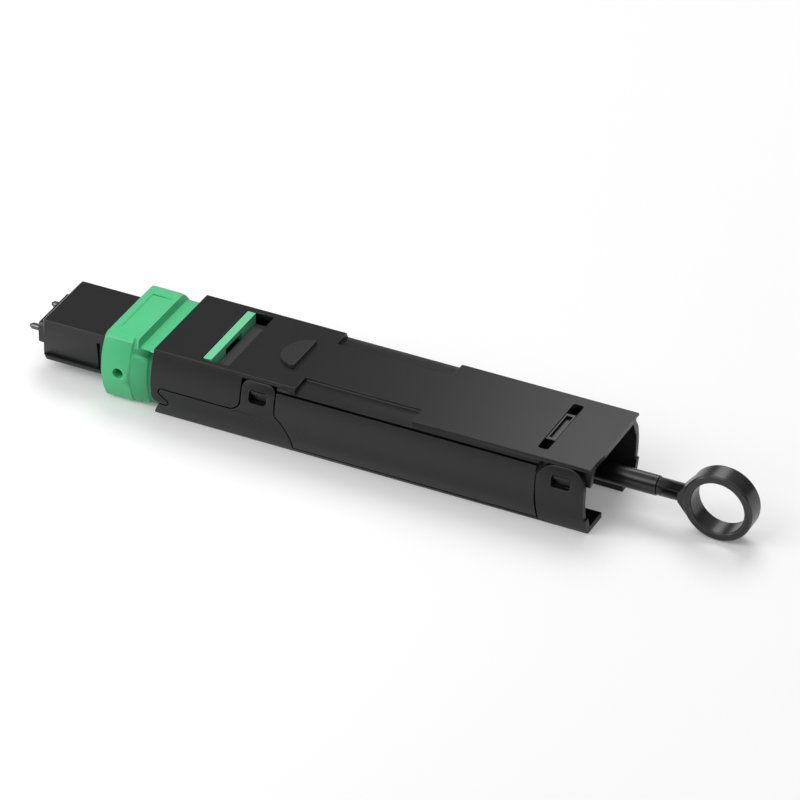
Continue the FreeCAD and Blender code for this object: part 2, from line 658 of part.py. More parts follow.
def make_loop_body():
    body = new_body("loop_body")
    lip_y = f"({side('floor_thickness', 'wall')} + seat_gap)"
    lip_z = "(rabbet_height + seat_gap)"
    line_y = f"({side(lip_z, '0')} - panel_line_depth)"
    line_z = f"({lip_z} + panel_line / 2)"
    shoulder = f"({DECK_TOP} - panel_line)"
    shoulder_y = side(shoulder, "0")
    ledge_y = f"({shoulder_y} - panel_line_depth)"
    deck_low = f"({DECK_TOP} - deck_fall)"
    land = "(notch_land / 2)"
    section = [
        (lip_y, lip_z), (line_y, lip_z), (line_y, line_z), (side(line_z, "0"), line_z, BARREL, 1),
        (shoulder_y, shoulder), (ledge_y, shoulder),
        (ledge_y, DECK_TOP), (land, deck_low),
        (f"-{land}", deck_low), (f"-{ledge_y}", DECK_TOP),
        (f"-{ledge_y}", shoulder), (f"-{shoulder_y}", shoulder, BARREL, 1),
        (f"-{side(line_z, '0')}", line_z), (f"-{line_y}", line_z),
        (f"-{line_y}", lip_z), (f"-{lip_y}", lip_z),
        (f"-{lip_y}", TRAY_BASE), (lip_y, TRAY_BASE),
    ]
    start = f"({FRONT_EAR_END} + part_gap)"
    pad(body, "block", "YZ_Plane", [section], start, f"{PANEL_END} - {start}")
    # The front edge follows the ear's curved rear edge, one gap behind it.
    inner_round = "(ogee_round - part_gap)"
    ogee_x = f"({start} + {inner_round} * (1 - cos(ogee_angle)))"
    ogee_z = f"(ogee_height - {inner_round} * sin(ogee_angle))"
    foot = f"({OGEE_FOOT} + part_gap)"
    sweep = f"(({foot} - {ogee_x}) / (1 - cos(ogee_angle)))"
    ahead = [
        (start, "ogee_height", inner_round, 1), (ogee_x, ogee_z, sweep, -1),
        (foot, f"{ogee_z} - {sweep} * sin(ogee_angle)"), (foot, "-wall"), (f"{start} - wall", "-wall"),
        (f"{start} - wall", "ogee_height"),
    ]
    pocket(body, "front_edge", "XZ_Plane", [ahead])
    # Inner rear wall with the latch, and the front socket that holds the plug's tail.
    rear_half = f"({side(PLATE_UNDER, 'wall + part_gap + flange_thickness')} - part_gap)"
    rear_wall = box(f"-{rear_half}", rear_half, TRAY_BASE, deck_low)
    pad(body, "rear_wall", "YZ_Plane", [rear_wall], f"{REAR_WALL_END} - 2 * wall", "2 * wall")
    latch = box(f"{SLOT_START} + seat_gap", REAR_WALL_END, "-latch_width / 2", "latch_width / 2")
    pad(body, "latch", "XY_Plane", [latch], deck_low, f"housing_height - {deck_low} - seat_gap")
    latch_pocket = round_box(
        f"{SLOT_START} + seat_gap + latch_rim", f"{REAR_WALL_END} - latch_rim",
        "-latch_width / 2 + 2 * latch_rim", "latch_width / 2 - 2 * latch_rim", "(latch_rim / 2)")
    latch_top = "(housing_height - seat_gap)"
    pocket(body, "latch_pocket", "XY_Plane", [latch_pocket], latch_top, "latch_pocket_depth")
    socket_front = f"({start} - socket_reach)"
    socket = box("-socket_width / 2", "socket_width / 2", TRAY_BASE, PUSH_TOP)
    pad(body, "socket", "YZ_Plane", [socket], socket_front, f"{TRAY_START} - {socket_front}")
    hole = box(
        "-push_tail_width / 2 - seat_gap", "push_tail_width / 2 + seat_gap",
        f"{MID} - {TAIL_RISE} - seat_gap", f"{MID} + {TAIL_RISE} + seat_gap")
    pocket(body, "socket_hole", "YZ_Plane", [hole], socket_front, f"{TRAY_START} - {socket_front}", back=True)
    # Fibre tray with its mandrel, the strip's trough above it, and the well where the strip turns down.
    tray = round_box(TRAY_START, TRAY_END, "-tray_width / 2", "tray_width / 2", "mandrel_radius")
    pocket(body, "tray", "XY_Plane", [tray], "0", TRAY_TOP, back=True)
    pad(body, "mandrel", "XY_Plane", [(LOOP_X, "0", "mandrel_radius")], f"{TRAY_BASE} + mandrel_clear",
        f"{TRAY_TOP} - {TRAY_BASE} - mandrel_clear")
    trough_half = "(strip_width / 2 + part_gap)"
    trough = box(f"{start} - wall", WELL_END, f"-{trough_half}", trough_half)
    pocket(body, "trough", "XY_Plane", [trough], DECK_TOP, f"{DECK_TOP} - {TROUGH_BASE}")
    well = box(WELL_START, WELL_END, "-riser_width / 2 - part_gap", "riser_width / 2 + part_gap")
    pocket(body, "well", "XY_Plane", [well], DECK_TOP, f"{DECK_TOP} - {MID} + rod_radius + part_gap")
    pocket(body, "rod_bore", "YZ_Plane", [("0", MID, "rod_radius + rod_fit")], f"{WELL_END} - seat_gap",
           f"{REAR_WALL_END} - {WELL_END} + 2 * seat_gap", back=True)
    return body


def make_plug_housing():
    body = new_body("plug_housing")
    half = "(plug_width / 2)"
    top = f"({MID} + plug_height / 2)"
    base = f"({MID} - plug_height / 2)"
    section = [
        (f"-{half}", f"{base} + plug_chamfer"), (f"-{half} + plug_chamfer / 2", base),
        (f"{half} - plug_chamfer / 2", base), (half, f"{base} + plug_chamfer"),
        (half, top), (f"-{half}", top),
    ]
    pad(body, "block", "YZ_Plane", [section], NOSE, f"{PLUG_END} - {NOSE}")
    break_edges(body, "nose_bevel", "x", [NOSE], "nose_bevel")
    opening = box(
        "-ferrule_width / 2 - slide_gap", "ferrule_width / 2 + slide_gap",
        f"{MID} - ferrule_height / 2 - slide_gap", f"{MID} + ferrule_height / 2 + slide_gap")
    pocket(body, "ferrule_opening", "YZ_Plane", [opening], NOSE, f"{SHOULDER} - {NOSE}", back=True)
    cavity = box(
        "-plug_cavity_width / 2", "plug_cavity_width / 2",
        f"{MID} - plug_cavity_height / 2", f"{MID} + plug_cavity_height / 2")
    pocket(body, "cavity", "YZ_Plane", [cavity], SHOULDER, f"{PLUG_END} - {SHOULDER}", back=True)
    # Side panels that slope in above a ledge, the latch grooves behind them, and the coupling springs' lugs.
    recess_end = f"({NOSE} + side_recess_length)"
    recess_base = f"({base} + side_recess_base)"
    recess_top = f"({recess_base} + side_recess_height)"
    recess = [
        (half, recess_top), (f"{half} - side_recess_depth", recess_base),
        (f"{half} + wall", recess_base), (f"{half} + wall", recess_top),
    ]
    pocket(body, "side_recess", "YZ_Plane", both_sides(recess), NOSE, "side_recess_length", back=True)
    groove = box(recess_end, f"{recess_end} + latch_groove_width", recess_base, recess_top)
    lug = box(LUG_FRONT, PLUG_END, f"{MID} - lug_height / 2", f"{MID} + lug_height / 2")
    for name, sign, back in (("near", "", False), ("far", "-", True)):
        face = f"{sign}{half}"
        pocket(body, f"latch_groove_{name}", "XZ_Plane", [groove], face, "latch_groove_depth", back=back)
        root = f"{sign}({half} - seat_gap)"
        pad(body, f"lug_{name}", "XZ_Plane", [lug], root, "lug_reach + seat_gap", back=back)
    return body


def ribbon_loop():
    # Section of the way that the fibre ribbon takes.
    return box(
        "-ribbon_width / 2", "ribbon_width / 2", f"{MID} - ribbon_height / 2", f"{MID} + ribbon_height / 2")


def make_spring_push():
    body = new_body("spring_push")
    half = "(plug_cavity_width / 2 - slide_gap)"
    rise = "(plug_cavity_height / 2 - slide_gap)"
    insert = box(f"-{half}", half, f"{MID} - {rise}", f"{MID} + {rise}")
    pad(body, "insert", "YZ_Plane", [insert], PUSH_FACE, "push_insert")
    collar_start = f"({PLUG_END} + seat_gap)"
    collar = box("-plug_width / 2", "plug_width / 2", f"{MID} - {PUSH_RISE}", PUSH_TOP)
    pad(body, "collar", "YZ_Plane", [collar], collar_start, "push_collar")
    joint = box(f"-{half}", half, f"{MID} - {PUSH_RISE}", PUSH_TOP)
    pad(body, "joint", "YZ_Plane", [joint], f"{PLUG_END} - wall", "wall + seat_gap")
    tail = box(
        "-push_tail_width / 2", "push_tail_width / 2", f"{MID} - {TAIL_RISE}", f"{MID} + {TAIL_RISE}")
    tail_start = f"({collar_start} + push_collar)"
    tail_end = f"({TRAY_START} - part_gap)"
    pad(body, "tail", "YZ_Plane", [tail], tail_start, f"{tail_end} - {tail_start}")
    # Two spring arms that reach forward beside the ferrule spring.
    for name, sign in (("right", ""), ("left", "-")):
        arm_inside = f"{sign}({half} - arm_thickness)"
        arm = box(f"{sign}{half}", arm_inside, f"{MID} - {rise} / 2", f"{MID} + {rise} / 2")
        pad(body, f"arm_{name}", "YZ_Plane", [arm], f"{PUSH_FACE} - arm_length", "arm_length")
    pocket(body, "ribbon_way", "YZ_Plane", [ribbon_loop()])
    return body


def make_ferrule():
    body = new_body("ferrule")
    half = "(ferrule_width / 2)"
    inset = f"({half} - ferrule_chamfer)"
    base = f"({MID} - ferrule_height / 2)"
    top = f"({MID} + ferrule_height / 2)"
    front = [
        (f"-{inset}", base), (inset, base),
        (half, f"{base} + ferrule_chamfer"), (half, f"{top} - ferrule_chamfer"),
        (inset, top), (f"-{inset}", top),
        (f"-{half}", f"{top} - ferrule_chamfer"), (f"-{half}", f"{base} + ferrule_chamfer"),
    ]
    pad(body, "block", "YZ_Plane", [front], FERRULE_FRONT, f"{FLANGE_START} - {FERRULE_FRONT}")
    flange = box(
        "-flange_width / 2", "flange_width / 2",
        f"{MID} - ferrule_flange_height / 2", f"{MID} + ferrule_flange_height / 2")
    pad(body, "flange", "YZ_Plane", [flange], FLANGE_START, "ferrule_flange_length")
    bores = [(f"{sign}pin_pitch / 2", MID, "pin_radius + pin_fit") for sign in ("", "-")]
    pocket(body, "pin_bores", "YZ_Plane", bores)
    boot = box(
        "-boot_width / 2 - seat_gap", "boot_width / 2 + seat_gap",
        f"{MID} - boot_height / 2 - seat_gap", f"{MID} + boot_height / 2 + seat_gap")
    pocket(body, "boot_pocket", "YZ_Plane", [boot], FLANGE_END, "boot_insert + seat_gap")
    return body


def make_guide_pin(name, sign):
    # Turned steel pin about its own X axis: eased tip, full-diameter free end, waist, thinner shank.
    body = new_body(name)
    tip = f"({FERRULE_FRONT} - pin_reach)"
    profile = [
        (tip, "0"), (tip, "pin_tip_radius"), (f"{tip} + pin_tip_length", "pin_radius"),
        (FERRULE_FRONT, "pin_radius"), (f"{FERRULE_FRONT} + pin_waist_length / 2", "pin_waist_radius"),
        (f"{FERRULE_FRONT} + pin_waist_length", "pin_shank_radius"),
        (CLAMP_END, "pin_shank_radius"), (CLAMP_END, "0"),
    ]
    sketch = draw(body, "profile", "XZ_Plane", [profile], "0")
    turned = body.newObject("PartDesign::Revolution", f"{name}_turned")
    turned.Profile = sketch
    turned.ReferenceAxis = (origin_axis(body), [""])
    turned.Angle = 360
    body.setExpression("Placement.Base.y", bound(f"{sign}pin_pitch / 2"))
    body.setExpression("Placement.Base.z", bound(MID))
    return body


def make_pin_clamp():
    body = new_body("pin_clamp")
    plate = box(
        "-flange_width / 2", "flange_width / 2",
        f"{MID} - ferrule_flange_height / 2", f"{MID} + ferrule_flange_height / 2")
    holes = [(f"{sign}pin_pitch / 2", MID, "pin_shank_radius + pin_fit") for sign in ("", "-")]
    gap = box(
        "-boot_width / 2 - seat_gap", "boot_width / 2 + seat_gap",
        f"{MID} - boot_height / 2 - seat_gap", f"{MID} + boot_height / 2 + seat_gap")
    pad(body, "plate", "YZ_Plane", [plate, gap] + holes, f"{FLANGE_END} + seat_gap", "clamp_thickness")
    return body


def make_ferrule_boot():
    body = new_body("ferrule_boot")
    outer = box("-boot_width / 2", "boot_width / 2", f"{MID} - boot_height / 2", f"{MID} + boot_height / 2")
    pad(body, "sleeve", "YZ_Plane", [outer, ribbon_loop()], f"{FLANGE_END} - boot_insert", "boot_length")
    return body


def strand(places, radius, axis):
    # A thin strand of straight runs through the places, four-sided to keep its facets few.
    rings = []
    for index, place in enumerate(places):
        before = places[max(index - 1, 0)]
        after = places[min(index + 1, len(places) - 1)]
        along = (after - before).normalize()
        across = along.cross(axis).normalize() * radius
        rise = across.cross(along)
        corners = [place + across, place + rise, place - across, place - rise]
        rings.append(Part.makePolygon(corners + corners[:1]))
    return Part.makeLoft(rings, True, True)


def make_coil(name, start, finish, half_width, half_height, turns, wire, offset):
    # Round or oval coil spring along X, between the outsides of its end turns.
    radius = value(wire) / 2
    begin = value(start) + radius
    length = value(finish) - radius - begin
    steps = int(value(turns) * COIL_STEPS)
    places = []
    for step in range(steps + 1):
        angle = 2 * math.pi * step / COIL_STEPS
        across = value(offset) + (value(half_width) - radius) * math.cos(angle)
        height = value(MID) + (value(half_height) - radius) * math.sin(angle)
        places.append(FreeCAD.Vector(begin + length * step / steps, across, height))
    coil = doc.addObject("Part::Feature", name)
    coil.Label = name
    coil.Shape = strand(places, radius, FreeCAD.Vector(1, 0, 0))
    return coil


def make_ferrule_spring():
    # Between the pin clamp and the spring push, round the fibre ribbon.
    half_width = "plug_cavity_width / 2 - slide_gap - arm_thickness - part_gap"
    return make_coil(
        "ferrule_spring", f"{CLAMP_END} + seat_gap", f"{PUSH_FACE} - seat_gap", half_width,
        "plug_cavity_height / 2 - part_gap", "ferrule_spring_turns", "ferrule_spring_wire", "0")


def make_coupling_spring(name, sign):
    # Between the front end of its channel in the coupling and a lug of the inner plug.
    return make_coil(
        name, f"{CHANNEL_FRONT} + seat_gap", f"{LUG_FRONT} - seat_gap", "coupling_spring_radius",
        "coupling_spring_radius", "coupling_spring_turns", "coupling_spring_wire", f"{sign}{SPRING_Y}")


def collar_section(inset, top, top_width):
    # Section of the coupling's grip: flat top with rounded shoulders, bulged sides, flat base.
    centre = "(collar_width / 2 - collar_side_radius)"
    radius = f"(collar_side_radius - {inset})"
    base_half = f"({centre} + sqrt({radius}^2 - (collar_base - collar_middle)^2))"
    top_half = f"({top_width} / 2 - {inset})"
    # The shoulder's arc touches the flat top at its end and the side's arc further down.
    flat = f"({top_half} - {centre})"
    rise = f"({top} - collar_middle)"
    bend = f"(({radius}^2 - {flat}^2 - {rise}^2) / (2 * ({radius} - {rise})))"
    spread = f"({radius} / ({radius} - {bend}))"
    shoulder_half = f"({centre} + {flat} * {spread})"
    shoulder = f"(collar_middle + ({rise} - {bend}) * {spread})"
    return [
        (base_half, "collar_base", radius, 1), (shoulder_half, shoulder, bend, 1),
        (top_half, top), (f"-{top_half}", top, bend, 1),
        (f"-{shoulder_half}", shoulder, radius, 1), (f"-{base_half}", "collar_base"),
    ]


def make_coupling():
    body = new_body("coupling")
    collar_front = f"({FRONT} - collar_reach)"
    collar_rear = f"({FRONT} - collar_step)"
    step_rear = f"({FRONT} - sleeve_step)"
    ramp_end = f"({FRONT} - ramp_foot)"
    collar = collar_section("0", "housing_height", "collar_top_width")
    pad(body, "collar", "YZ_Plane", [collar], collar_front, f"{collar_rear} - {collar_front}")
    break_edges(body, "collar_bevel", "x", [collar_front], "collar_bevel")
    step = collar_section("collar_inset", "housing_height", "collar_top_width")
    pad(body, "step", "YZ_Plane", [step], collar_rear, f"{ramp_end} - {collar_rear}")
    saddle = collar_section("collar_inset", SLEEVE_TOP, "saddle_top_width")
    pad(body, "saddle", "YZ_Plane", [saddle], ramp_end, f"{step_rear} - {ramp_end}")
    throat = collar_section("throat_inset", SLEEVE_TOP, "saddle_top_width")
    pad(body, "throat", "YZ_Plane", [throat], step_rear, f"{THROAT_END} - {step_rear}")
    # Ramp down behind the grip, and the room under the throat for the housing's floor.
    sleeve_base = "(floor_thickness + 2 * slide_gap)"
    ramp = [
        (f"{FRONT} - ramp_top", "housing_height"), (ramp_end, SLEEVE_TOP),
        (f"{ramp_end} + wall", f"{SLEEVE_TOP} + slide_gap"), (f"{ramp_end} + wall", "housing_height + wall"),
        (f"{FRONT} - ramp_top", "housing_height + wall"),
    ]
    under = box(f"{FRONT} - release_travel", f"{THROAT_END} + wall", "-wall", THROAT_BASE)
    pocket(body, "ramp", "XZ_Plane", [ramp, under])
    inset = "(wall + 2 * slide_gap)"
    radius = f"({BARREL} - {inset})"
    sleeve = [
        (side(sleeve_base, inset), sleeve_base, radius, 1), (side(SLEEVE_TOP, inset), SLEEVE_TOP),
        (f"-{side(SLEEVE_TOP, inset)}", SLEEVE_TOP, radius, 1), (f"-{side(sleeve_base, inset)}", sleeve_base),
    ]
    pad(body, "sleeve", "YZ_Plane", [sleeve], step_rear, f"{PLUG_END} - {step_rear}")
    half = "(plug_width / 2 + slide_gap)"
    cavity = box(f"-{half}", half, f"{MID} - plug_height / 2 - slide_gap", CAVITY_TOP)
    pocket(body, "plug_way", "YZ_Plane", [cavity])
    channel_half = "(plug_width / 2 + spring_channel_height)"
    channel_rise = "(spring_channel_height / 2)"
    channel = box(f"-{channel_half}", channel_half, f"{MID} - {channel_rise}", f"{MID} + {channel_rise}")
    channel_length = f"{PLUG_END} - {CHANNEL_FRONT}"
    pocket(body, "spring_channels", "YZ_Plane", [channel], CHANNEL_FRONT, channel_length, back=True)
    hole = (f"{collar_front} + side_hole_setback", MID, "side_hole_radius")
    pocket(body, "side_holes", "XZ_Plane", [hole])
    recess_start = f"({collar_front} + top_recess_setback)"
    recess_end = f"({recess_start} + top_recess_length)"
    recess = box(recess_start, recess_end, "-top_recess_width / 2", "top_recess_width / 2")
    pocket(body, "top_recess", "XY_Plane", [recess], "housing_height", "top_recess_depth")
    # Tongue under the top plate, with the bar that stands in the plate's window and spans the strip.
    tongue = box("-bar_length / 2", "bar_length / 2", CAVITY_TOP, SLEEVE_TOP)
    pad(body, "tongue", "YZ_Plane", [tongue], f"{PLUG_END} - wall", f"{BAR_REAR} - {PLUG_END} + wall")
    bar = box("-bar_length / 2", "bar_length / 2", "housing_height - bar_leg", "housing_height")
    pad(body, "bar", "YZ_Plane", [bar], BAR_FRONT, "bar_width")
    arch_top = "housing_height - arch_height"
    arch = box("-arch_width / 2", "arch_width / 2", "housing_height - bar_leg", arch_top)
    pocket(body, "arch", "YZ_Plane", [arch], BAR_FRONT, "bar_width", back=True)
    return body


def make_pull_rod():
    body = new_body("pull_rod")
    head = f"({BAR_FRONT} - part_gap)"
    strip_start = f"({BAR_REAR} + part_gap)"
    riser_end = f"({WELL_END} - release_travel - part_gap)"
    head_half = "(strip_head_width / 2)"
    neck_half = "(strip_neck_width / 2)"
    shoulder_half = "(strip_shoulder_width / 2)"
    shoulder_end = f"({strip_start} + strip_shoulder_length)"
    half = "(strip_width / 2)"
    strip_end = f"({WELL_START} + riser_length / 2)"
    outline = [
        (f"{head} - strip_head_length", head_half), (f"{head} - strip_head_length", f"-{head_half}"),
        (head, f"-{head_half}"), (head, f"-{neck_half}"),
        (strip_start, f"-{neck_half}"), (strip_start, f"-{shoulder_half}"),
        (shoulder_end, f"-{shoulder_half}"), (shoulder_end, f"-{half}"),
        (strip_end, f"-{half}"), (strip_end, half),
        (shoulder_end, half), (shoulder_end, shoulder_half),
        (strip_start, shoulder_half), (strip_start, neck_half),
        (head, neck_half), (head, head_half),
    ]
    pad(body, "strip", "XY_Plane", [outline], STRIP_BASE, "strip_thickness")
    step = box(strip_start, shoulder_end, f"-{shoulder_half}", shoulder_half)
    pad(body, "shoulder", "XY_Plane", [step], STRIP_TOP, "strip_shoulder_rise")
    riser_start = f"({WELL_START} + part_gap)"
    riser = box(riser_start, riser_end, "-riser_width / 2", "riser_width / 2")
    pad(body, "riser", "XY_Plane", [riser], f"{MID} - rod_radius", f"{STRIP_TOP} - {MID} + rod_radius")
    rod_start = f"({riser_end} - seat_gap)"
    pad(body, "rod", "YZ_Plane", [("0", MID, "rod_radius")], rod_start, f"{ROD_END} - {rod_start}")
    peg_bore = ("0", MID, "peg_radius + peg_fit")
    pocket(body, "peg_bore", "YZ_Plane", [peg_bore], ROD_END, "peg_length + peg_fit")
    return body


def make_pull_ring():
    body = new_body("pull_ring")
    outer = (RING_X, MID, "ring_inner_radius + ring_wall")
    inner = (RING_X, MID, "ring_inner_radius")
    pad(body, "ring", "XZ_Plane", [outer, inner], "0", "ring_width", symmetric=True)
    break_edges(body, "ring_bevel", "y", ["ring_width / 2", "-ring_width / 2"], "ring_bevel")
    neck_end = f"({RING_X} - ring_inner_radius - ring_wall / 2)"
    flare_start = f"({RING_X} - ring_inner_radius - ring_wall - flare_length)"
    flare = [
        (flare_start, f"{MID} - flare_tip"), (flare_start, f"{MID} + flare_tip"),
        (neck_end, f"{MID} + flare_rise"), (neck_end, f"{MID} - flare_rise"),
    ]
    pad(body, "flare", "XZ_Plane", [flare], "0", "ring_width - 2 * ring_bevel", symmetric=True)
    neck_start = f"({ROD_END} + seat_gap)"
    pad(body, "neck", "YZ_Plane", [("0", MID, "neck_radius")], neck_start, f"{neck_end} - {neck_start}")
    peg = ("0", MID, "peg_radius")
    pad(body, "peg", "YZ_Plane", [peg], f"{ROD_END} - peg_length", "peg_length + 2 * seat_gap")
    return body


def fibre_places(near, radius):
    # From the boot to the loop: straight, eased out to the loop's width, then a quarter round the mandrel.
    height = value(MID)
    spread = value(f"{TRAY_START} - part_gap")
    turn = value(LOOP_X)
    places = [FreeCAD.Vector(value(f"{FLANGE_END} - boot_insert + boot_length + part_gap"), near, height)]
    for step in range(EASE_STEPS + 1):
        share = step / EASE_STEPS
        ease = (1 - math.cos(math.pi * share)) / 2
        places.append(FreeCAD.Vector(spread + (turn - spread) * share, near + (radius - near) * ease, height))
    for step in range(1, TURN_STEPS + 1):
        angle = math.pi / 2 * step / TURN_STEPS
        places.append(FreeCAD.Vector(turn + radius * math.sin(angle), radius * math.cos(angle), height))
    return places


def make_fibre_loops():
    tubes = []
    for index in range(LOOPS):
        near = value("fibre_pitch") * (index + 0.5)
        radius = value("loop_radius") - value("loop_pitch") * (LOOPS - 1 - index)
        half = fibre_places(near, radius)
        back = [FreeCAD.Vector(place.x, -place.y, place.z) for place in reversed(half[:-1])]
        tubes.append(strand(half + back, value("fibre_radius"), FreeCAD.Vector(0, 0, 1)))
    loops = doc.addObject("Part::Feature", "fibre_loops")
    loops.Label = "fibre_loops"
    loops.Shape = Part.makeCompound(tubes)
    return loops


NODES = [
    make_top_cover(), make_bottom_cover(), make_loop_body(), make_plug_housing(), make_spring_push(),
    make_ferrule(), make_guide_pin("guide_pin_left", "-"), make_guide_pin("guide_pin_right", ""),
    make_pin_clamp(), make_ferrule_boot(), make_ferrule_spring(),
    make_coupling_spring("coupling_spring_left", "-"), make_coupling_spring("coupling_spring_right", ""),
    make_coupling(), make_pull_rod(), make_pull_ring(), make_fibre_loops(),
]
doc.recompute()

for item in doc.Objects:
    if "Invalid" in item.State or "Error" in item.State:
        raise RuntimeError(f"{item.Label} failed: {item.State}")
os.makedirs("parts", exist_ok=True)
for node in NODES:
    if node.Shape.isNull() or not node.Shape.isValid():
        raise RuntimeError(f"{node.Label} has no valid shape")
    node.Shape.exportStep(f"parts/{node.Label}.step")
    print(node.Label, round(node.Shape.Volume, 3), len(node.Shape.Solids))
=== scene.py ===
import bmesh
import bpy
import json
import math
from mathutils import Matrix, Vector


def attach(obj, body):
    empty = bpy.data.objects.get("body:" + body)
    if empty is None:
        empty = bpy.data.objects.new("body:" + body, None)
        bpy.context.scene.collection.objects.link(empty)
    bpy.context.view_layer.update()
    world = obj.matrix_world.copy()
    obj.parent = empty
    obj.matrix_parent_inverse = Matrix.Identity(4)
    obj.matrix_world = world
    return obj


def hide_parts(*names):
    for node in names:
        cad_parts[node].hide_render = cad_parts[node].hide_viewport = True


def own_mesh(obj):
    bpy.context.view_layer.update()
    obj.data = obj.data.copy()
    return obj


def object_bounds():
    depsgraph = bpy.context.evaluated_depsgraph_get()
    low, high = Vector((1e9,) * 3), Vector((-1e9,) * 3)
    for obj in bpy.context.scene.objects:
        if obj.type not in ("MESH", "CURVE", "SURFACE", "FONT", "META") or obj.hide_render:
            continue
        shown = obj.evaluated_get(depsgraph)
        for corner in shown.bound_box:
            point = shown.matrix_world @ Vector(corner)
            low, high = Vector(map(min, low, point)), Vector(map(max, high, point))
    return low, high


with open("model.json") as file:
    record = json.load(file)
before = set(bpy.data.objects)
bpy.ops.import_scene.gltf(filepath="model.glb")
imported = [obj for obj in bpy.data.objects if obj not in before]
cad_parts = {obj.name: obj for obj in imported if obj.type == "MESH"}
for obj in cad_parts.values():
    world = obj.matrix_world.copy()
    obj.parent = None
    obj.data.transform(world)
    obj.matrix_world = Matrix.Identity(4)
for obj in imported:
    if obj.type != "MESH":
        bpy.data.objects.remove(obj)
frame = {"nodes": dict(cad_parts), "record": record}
cadLow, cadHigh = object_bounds()
mm = 0.001
scene = bpy.context.scene
scene.view_settings.view_transform = "Standard"
print("frame loaded:", len(frame["nodes"]), "nodes")

cameraView = {
    "azimuth": 26.193,       # degrees, from the near long side towards the ring
    "elevation": 33.546,
    "roll": 0.271,
    "distance": 600 * mm,
    "lens": 267.06,          # focal length in millimetres, for this sensor width
    "sensor": 36,
    "clip": (0.01, 20),      # metres
    "target": (0, 0, 7.7 * mm),     # middle of the top plate
    "aside": 0.55 * mm,      # steps of the camera to its right and upwards
    "above": -1.967 * mm,
}


def placeCamera(view):
    turn = math.radians(view["azimuth"])
    lift = math.radians(view["elevation"])
    roll = math.radians(view["roll"])
    back = Vector((math.sin(turn) * math.cos(lift), -math.cos(turn) * math.cos(lift), math.sin(lift)))
    right = Vector((math.cos(turn), math.sin(turn), 0))
    up = back.cross(right)
    right, up = right * math.cos(roll) + up * math.sin(roll), up * math.cos(roll) - right * math.sin(roll)
    place = Vector(view["target"]) + right * view["aside"] + up * view["above"] + back * view["distance"]
    camera = bpy.data.objects.new("photoCamera", bpy.data.cameras.new("photoCamera"))
    camera.data.lens = view["lens"]
    camera.data.sensor_width = view["sensor"]
    camera.data.clip_start, camera.data.clip_end = view["clip"]
    camera.matrix_world = Matrix((
        (right.x, up.x, back.x, place.x),
        (right.y, up.y, back.y, place.y),
        (right.z, up.z, back.z, place.z),
        (0, 0, 0, 1),
    ))
    scene.collection.objects.link(camera)
    scene.camera = camera


placeCamera(cameraView)
print("camera placed")


def linear(hexColour):
    channels = []
    for start in (1, 3, 5):
        part = int(hexColour[start:start + 2], 16) / 255
        channels.append(part / 12.92 if part <= 0.04045 else ((part + 0.055) / 1.055) ** 2.4)
    return (*channels, 1.0)


# a number as key is a socket's place: a Mix node's colours are 6 and 7, its plain values 2 and 3
def addNode(tree, kind, settings=None, links=None):
    node = tree.nodes.new(kind)
    for key, setting in (settings or {}).items():
        if isinstance(key, int) or key in node.inputs.keys():
            node.inputs[key].default_value = setting
        else:
            setattr(node, key, setting)
    for key, source in (links or {}).items():
        tree.links.new(source, node.inputs[key])
    return node


def newMaterial(name):
    material = bpy.data.materials.new(name)
    material.use_nodes = True
    material.node_tree.nodes.clear()
    return material, material.node_tree


# what all moulded skins share
mouldedSkin = {
    "cloudDetail": 3.0,
    "grainDetail": 2.0,
    "grainHarshness": 0.6,
    "speck": 0.12,           # how far the grain spreads the roughness
    "edgeGloss": -0.10,      # what a smoothed edge adds to the roughness
    "relief": 0.1,           # depth of the grain, as a share of its width
}


